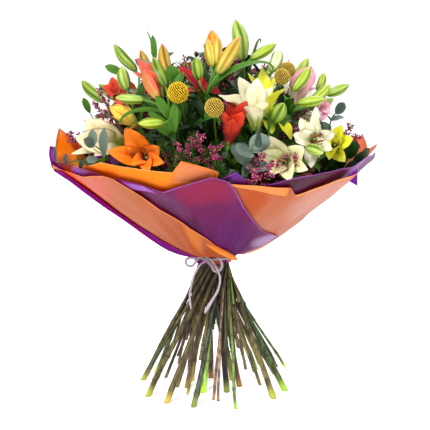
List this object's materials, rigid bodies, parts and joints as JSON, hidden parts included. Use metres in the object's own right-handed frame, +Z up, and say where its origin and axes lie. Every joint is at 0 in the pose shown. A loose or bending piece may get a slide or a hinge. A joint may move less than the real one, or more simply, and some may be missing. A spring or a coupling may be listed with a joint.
{
  "type": "mixed flower bouquet",
  "caption": "Hand-tied round bouquet of lilies, craspedia, heather and eucalyptus in a bowl of orange and purple film, standing on its cut stems.",
  "frame": {"origin": "on the table, under the tied neck, at the middle of the bouquet's outline seen from above", "axes": "+Z up through the neck, -Y towards the side shown to the viewer, +X to the viewer's right"},
  "size_m": [0.5075, 0.4832, 0.563],
  "materials": {
    "lily_green": "waxy green stems, buds and strap leaves",
    "petals_coral": "soft satin petals, coral to scarlet",
    "petals_yellow": "soft satin petals, lemon yellow",
    "petals_pink": "soft satin petals, pale pink",
    "petals_white": "soft satin petals, ivory white",
    "petals_cream": "soft satin petals, cream with a green throat",
    "petals_orange": "soft satin petals, strong orange",
    "petals_red": "soft satin petals, orange-red to crimson",
    "craspedia": "mustard yellow ball of tiny florets on a grey-green stem",
    "heather": "magenta florets on thin woody twigs",
    "needles": "dark green needles on woody twigs",
    "eucalyptus": "dull grey-green leaves",
    "film_orange": "frosted translucent film, orange",
    "film_purple": "frosted translucent film, purple",
    "raffia": "dull pale lilac ribbon of raffia"
  },
  "bodies": {
    "root": {"bloom_coral": "petals_coral", "coral_lily": "lily_green", "bloom_scarlet": "petals_coral", "scarlet_lily": "lily_green", "apricot_lily": "lily_green", "green_lily": "lily_green", "bloom_yellow": "petals_yellow", "yellow_lily": "lily_green", "bloom_pink": "petals_pink", "bloom_pink_side": "petals_pink", "pink_lily": "lily_green", "bloom_white": "petals_white", "white_lily_centre": "lily_green", "bloom_white_open": "petals_white", "bloom_cream": "petals_cream", "white_lily_right": "lily_green", "bloom_orange": "petals_orange", "orange_lily": "lily_green", "bloom_yellow_right": "petals_yellow", "yellow_lily_right": "lily_green", "bloom_red": "petals_red", "red_lily": "lily_green", "bloom_white_left": "petals_cream", "bloom_yellow_left": "petals_yellow", "white_lily_left": "lily_green", "bloom_crimson": "petals_red", "crimson_lily": "lily_green", "bloom_rose": "petals_pink", "pink_lily_back": "lily_green", "bloom_tangerine": "petals_orange", "orange_lily_back": "lily_green", "bloom_white_back": "petals_white", "white_lily_back": "lily_green", "craspedia_1": "craspedia", "craspedia_2": "craspedia", "craspedia_3": "craspedia", "craspedia_4": "craspedia", "craspedia_5": "craspedia", "heather_left_top": "heather", "heather_left": "heather", "heather_top": "heather", "heather_centre": "heather", "heather_front": "heather", "heather_right": "heather", "heather_back": "heather", "needled_greens": "needles", "eucalyptus_left": "eucalyptus", "eucalyptus_centre": "eucalyptus", "eucalyptus_right": "eucalyptus", "gum_top": "eucalyptus", "film_orange_front": "film_orange", "film_purple_front": "film_purple", "film_orange_right": "film_orange", "film_purple_right": "film_purple", "film_orange_back": "film_orange", "film_purple_left": "film_purple", "film_orange_inside": "film_orange", "raffia_bow": "raffia", "raffia_tail_left": "raffia", "raffia_tail_right": "raffia"}
  },
  "joints": []
}
